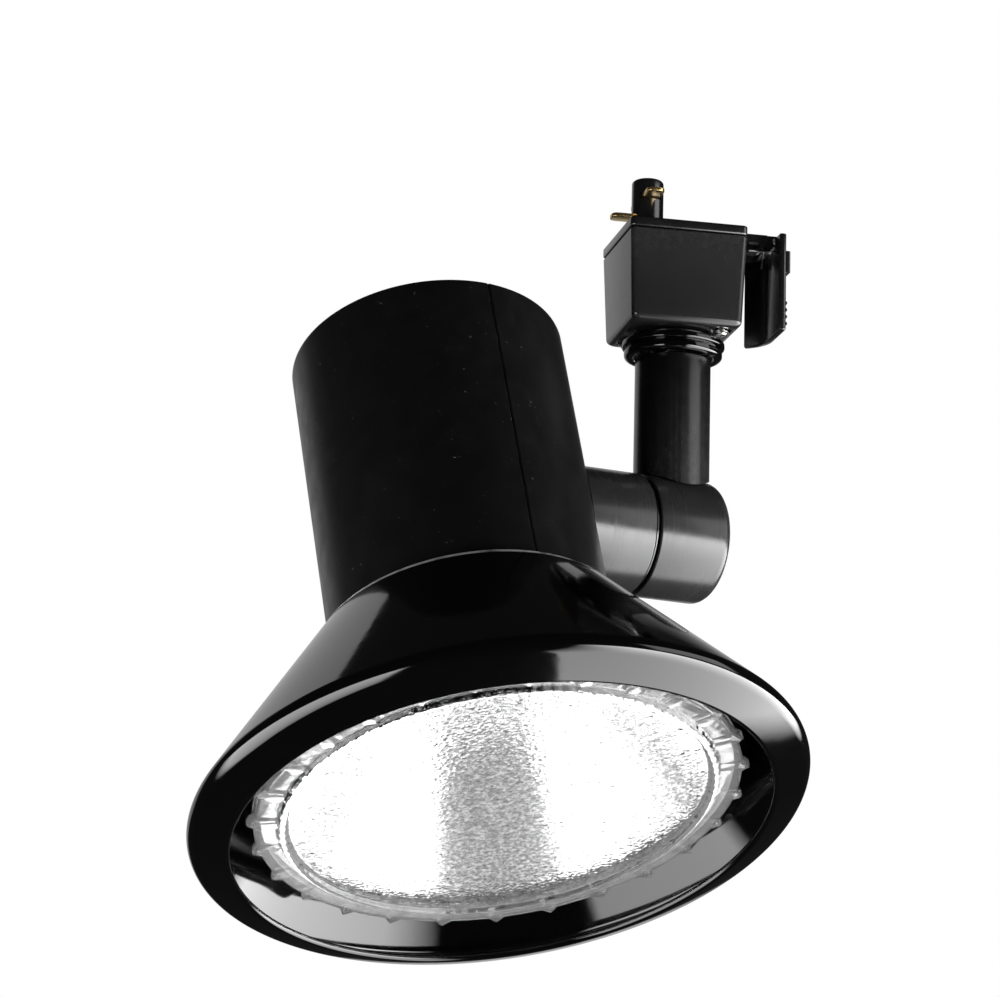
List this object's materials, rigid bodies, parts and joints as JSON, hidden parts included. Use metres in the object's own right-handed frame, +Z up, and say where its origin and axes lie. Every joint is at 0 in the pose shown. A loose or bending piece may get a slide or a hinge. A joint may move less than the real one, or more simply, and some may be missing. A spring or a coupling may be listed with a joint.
{
  "type": "track spotlight",
  "caption": "Line-voltage track spotlight: adapter with latch lever, panning stem, tilting knuckle, cylinder housing, flared shade and screw-base reflector lamp.",
  "frame": {"origin": "centre of the adapter cover's top face, which sits flat against the underside of the track", "axes": "+X along the track towards the latch lever, +Z up out of the adapter's top face into the track, -Y towards the side that the lamp aims at"},
  "size_m": [0.1257, 0.1231, 0.1675],
  "materials": {
    "satin_black": "satin powder coat",
    "black_enamel": "gloss enamel",
    "black_plastic": "moulded polycarbonate, satin",
    "pale_plastic": "natural nylon",
    "gunmetal": "brushed satin black",
    "steel": "zinc plated",
    "brass": "bare",
    "copper": "drawn copper alloy",
    "porcelain": "glazed",
    "nickel": "nickel plated",
    "lens_glass": "pressed clear glass",
    "silvered_glass": "pressed glass, silvered inside",
    "black_glass": "black insulating glass",
    "sleeving": "woven glass fibre"
  },
  "bodies": {
    "adapter": {"adapter_housing": "satin_black", "adapter_cover": "black_plastic", "contact_post": "black_plastic", "live_contact": "brass", "neutral_contact": "brass", "ground_contact": "brass", "housing_screw_1": "steel", "housing_screw_2": "steel", "lever_pin": "steel", "lever_spring": "steel", "stem_bushing": "pale_plastic", "adapter_lead": "sleeving"},
    "latch": {"latch_lever": "black_plastic"},
    "stem": {"stem_nut": "brass", "stem_washer": "steel", "swivel_washer": "black_plastic", "swivel_flange": "black_enamel", "stem_sleeve": "satin_black", "threaded_nipple": "steel", "stem_lead": "sleeving", "knuckle_outer": "gunmetal", "friction_washer": "black_plastic", "pivot_nipple": "steel", "pivot_washer": "steel", "pivot_nut": "brass"},
    "head": {"knuckle_inner": "gunmetal", "cylinder_housing": "satin_black", "back_cap": "satin_black", "cap_screw_1": "steel", "cap_screw_2": "steel", "shade": "black_enamel", "socket_body": "porcelain", "socket_screw_shell": "copper", "socket_contact": "brass", "socket_bracket": "steel", "bracket_screw_1": "steel", "bracket_screw_2": "steel", "socket_screw_1": "steel", "socket_screw_2": "steel", "head_lead": "sleeving"},
    "lamp_tip": {"lamp_base_eyelet": "brass"},
    "lamp": {"lamp_lens": "lens_glass", "lamp_reflector": "silvered_glass", "lamp_base_shell": "nickel", "lamp_base_insulator": "black_glass", "lamp_capsule": "lens_glass", "lamp_capsule_mount": "nickel"}
  },
  "joints": [
    {"name": "pan", "type": "hinge", "parent": "adapter", "child": "stem", "pos_m": [0, 0, -0.023], "axis": [0, 0, 1], "range_deg": [-175, 175]},
    {"name": "tilt", "type": "hinge", "parent": "stem", "child": "head", "pos_m": [0, 0, -0.066], "axis": [-0.9744, -0.225, 0], "range_deg": [-22.8, 67.2]},
    {"name": "latch_squeeze", "type": "hinge", "parent": "adapter", "child": "latch", "pos_m": [0.0202, 0, -0.00145], "axis": [0, 1, 0], "range_deg": [0, 6.5], "stiffness_Nm_per_rad": 0.05, "springref_deg": -8.59},
    {"name": "lamp_slide", "type": "slide", "parent": "head", "child": "lamp_tip", "axis": [0.0872, -0.3776, -0.9219], "range_m": [0, 0.0273]},
    {"name": "lamp_turn", "type": "hinge", "parent": "lamp_tip", "child": "lamp", "pos_m": [-0.05104, -0.00252, -0.04452], "axis": [0.0872, -0.3776, -0.9219], "range_deg": [0, 2700]}
  ],
  "couplings": [
    {"joint": "lamp_slide", "follows": "lamp_turn", "m_per_rad": 0.00057756}
  ]
}
